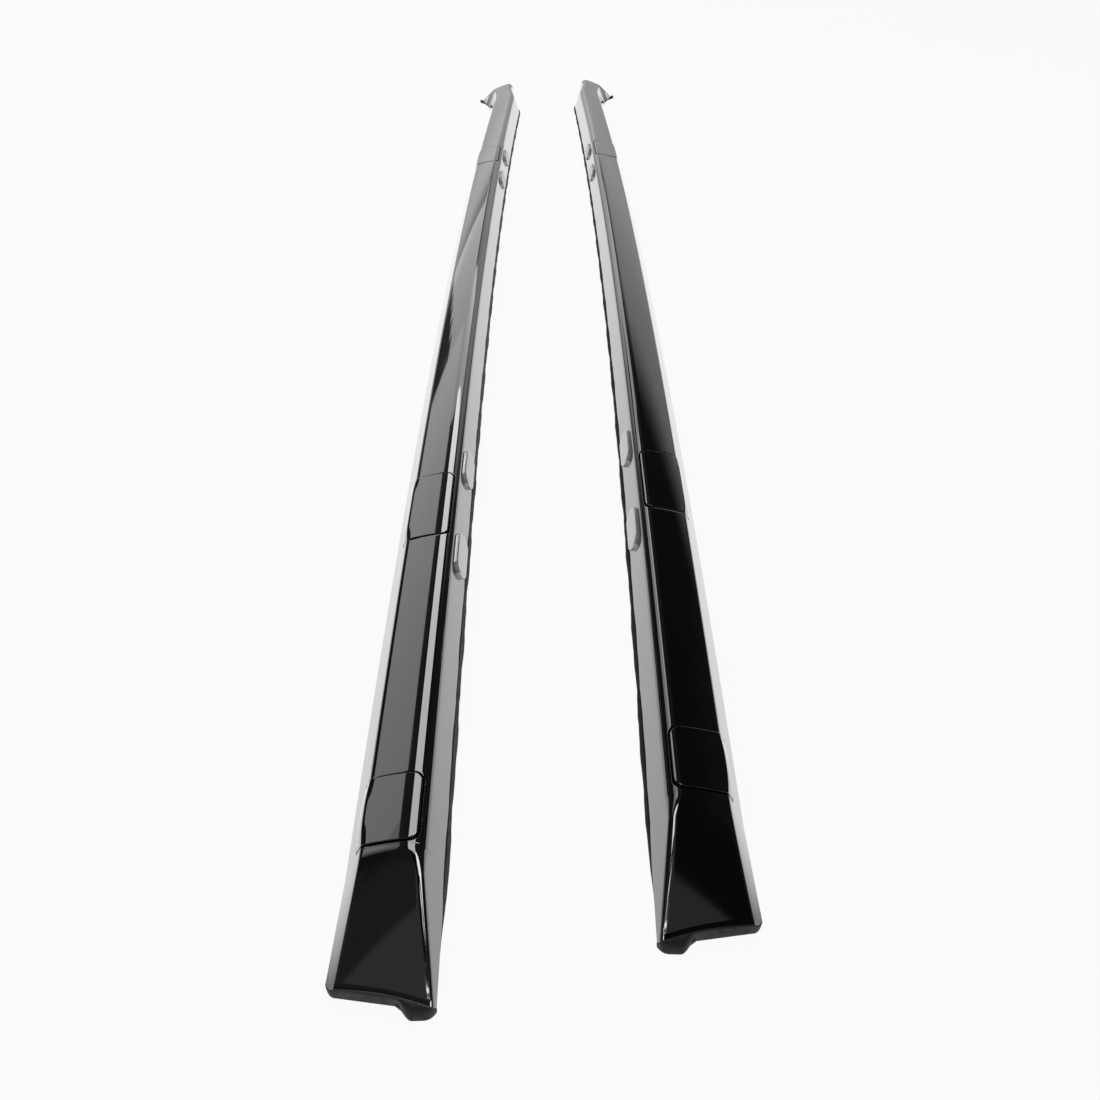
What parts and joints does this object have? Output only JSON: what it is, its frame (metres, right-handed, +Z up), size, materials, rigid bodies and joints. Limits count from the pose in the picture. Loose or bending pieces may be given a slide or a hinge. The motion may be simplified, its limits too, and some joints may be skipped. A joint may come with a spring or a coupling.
{
  "type": "roof side rail pair",
  "caption": "Mirrored pair of low gloss-black roof side rails with sloped front caps, clip-on fixing covers, crossbar pads and a rubber base gasket.",
  "frame": {"origin": "middle of the pair's box, on the floor", "axes": "+X to the right rail, +Y along the rails from the front caps to the rear, +Z up"},
  "size_m": [0.2692, 1.9692, 0.049],
  "materials": {
    "rail_paint": "gloss black",
    "cap_plastic": "gloss black",
    "cover_plastic": "gloss black",
    "gasket_rubber": "matt black",
    "pad_satin": "satin",
    "plate_steel": "zinc plated",
    "clip_steel": "spring steel",
    "screw_steel": "zinc plated",
    "insert_aluminium": "plain"
  },
  "bodies": {
    "root": {"left_rail_profile": "rail_paint", "left_front_end_cap": "cap_plastic", "left_rear_end_cap": "cap_plastic", "left_front_cover": "cover_plastic", "left_mid_cover": "cover_plastic", "left_rear_cover": "cover_plastic", "left_base_gasket": "gasket_rubber", "left_front_foot_plate": "plate_steel", "left_mid_foot_plate": "plate_steel", "left_rear_foot_plate": "plate_steel", "left_cover_clips": "clip_steel", "left_end_cap_screws": "screw_steel", "left_pad_inserts": "insert_aluminium", "left_mid_front_crossbar_pad": "pad_satin", "left_mid_rear_crossbar_pad": "pad_satin", "left_rear_front_crossbar_pad": "pad_satin", "left_rear_rear_crossbar_pad": "pad_satin", "right_rail_profile": "rail_paint", "right_front_end_cap": "cap_plastic", "right_rear_end_cap": "cap_plastic", "right_front_cover": "cover_plastic", "right_mid_cover": "cover_plastic", "right_rear_cover": "cover_plastic", "right_base_gasket": "gasket_rubber", "right_front_foot_plate": "plate_steel", "right_mid_foot_plate": "plate_steel", "right_rear_foot_plate": "plate_steel", "right_cover_clips": "clip_steel", "right_end_cap_screws": "screw_steel", "right_pad_inserts": "insert_aluminium", "right_mid_front_crossbar_pad": "pad_satin", "right_mid_rear_crossbar_pad": "pad_satin", "right_rear_front_crossbar_pad": "pad_satin", "right_rear_rear_crossbar_pad": "pad_satin"}
  },
  "joints": []
}
